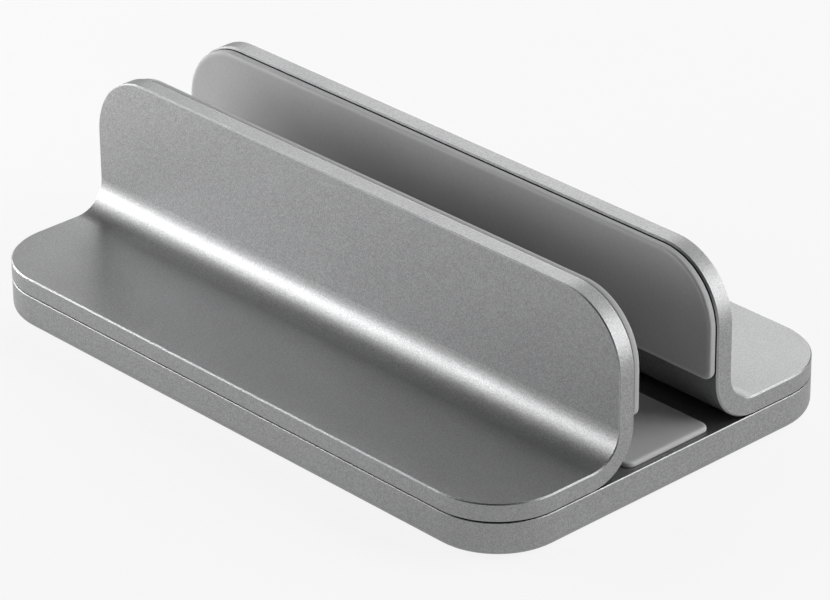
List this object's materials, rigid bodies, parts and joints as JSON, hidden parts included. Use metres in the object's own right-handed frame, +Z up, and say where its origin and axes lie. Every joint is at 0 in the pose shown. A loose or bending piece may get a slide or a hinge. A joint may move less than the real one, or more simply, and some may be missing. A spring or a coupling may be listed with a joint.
{
  "type": "vertical laptop stand",
  "caption": "Low stand that holds a closed laptop on its edge in an open slot between padded, adjustable L-shaped brackets on a flat base.",
  "frame": {"origin": "on the desk, under the middle of the stand", "axes": "+X across the laptop slot, +Y along it, +Z up"},
  "size_m": [0.1064, 0.17, 0.0492],
  "materials": {
    "anodised_aluminium": "bead-blasted and anodised, space grey, satin",
    "grey_silicone": "moulded silicone, soft satin",
    "dark_silicone": "moulded silicone, matte",
    "screw_steel": "bright steel"
  },
  "bodies": {
    "base": {"base_plate": "anodised_aluminium", "grip_sheet": "dark_silicone", "floor_pad": "grey_silicone"},
    "left_side": {"left_bracket": "anodised_aluminium", "left_side_pad": "grey_silicone", "clamp_washer_front_left": "screw_steel", "clamp_washer_back_left": "screw_steel"},
    "right_side": {"right_bracket": "anodised_aluminium", "right_side_pad": "grey_silicone", "clamp_washer_front_right": "screw_steel", "clamp_washer_back_right": "screw_steel"},
    "screw_front_left": {"clamp_screw_front_left": "screw_steel"},
    "screw_back_left": {"clamp_screw_back_left": "screw_steel"},
    "screw_front_right": {"clamp_screw_front_right": "screw_steel"},
    "screw_back_right": {"clamp_screw_back_right": "screw_steel"}
  },
  "joints": [
    {"name": "left_bracket_slide", "type": "slide", "parent": "base", "child": "left_side", "axis": [1, 0, 0], "range_m": [0, 0.006]},
    {"name": "right_bracket_slide", "type": "slide", "parent": "base", "child": "right_side", "axis": [-1, 0, 0], "range_m": [0, 0.006]},
    {"name": "screw_front_left_turn", "type": "hinge", "parent": "left_side", "child": "screw_front_left", "pos_m": [-0.0378, -0.055, 0.004], "axis": [0, 0, -1], "range_deg": [0, 360]},
    {"name": "screw_back_left_turn", "type": "hinge", "parent": "left_side", "child": "screw_back_left", "pos_m": [-0.0378, 0.055, 0.004], "axis": [0, 0, -1], "range_deg": [0, 360]},
    {"name": "screw_front_right_turn", "type": "hinge", "parent": "right_side", "child": "screw_front_right", "pos_m": [0.0378, -0.055, 0.004], "axis": [0, 0, -1], "range_deg": [0, 360]},
    {"name": "screw_back_right_turn", "type": "hinge", "parent": "right_side", "child": "screw_back_right", "pos_m": [0.0378, 0.055, 0.004], "axis": [0, 0, -1], "range_deg": [0, 360]}
  ]
}
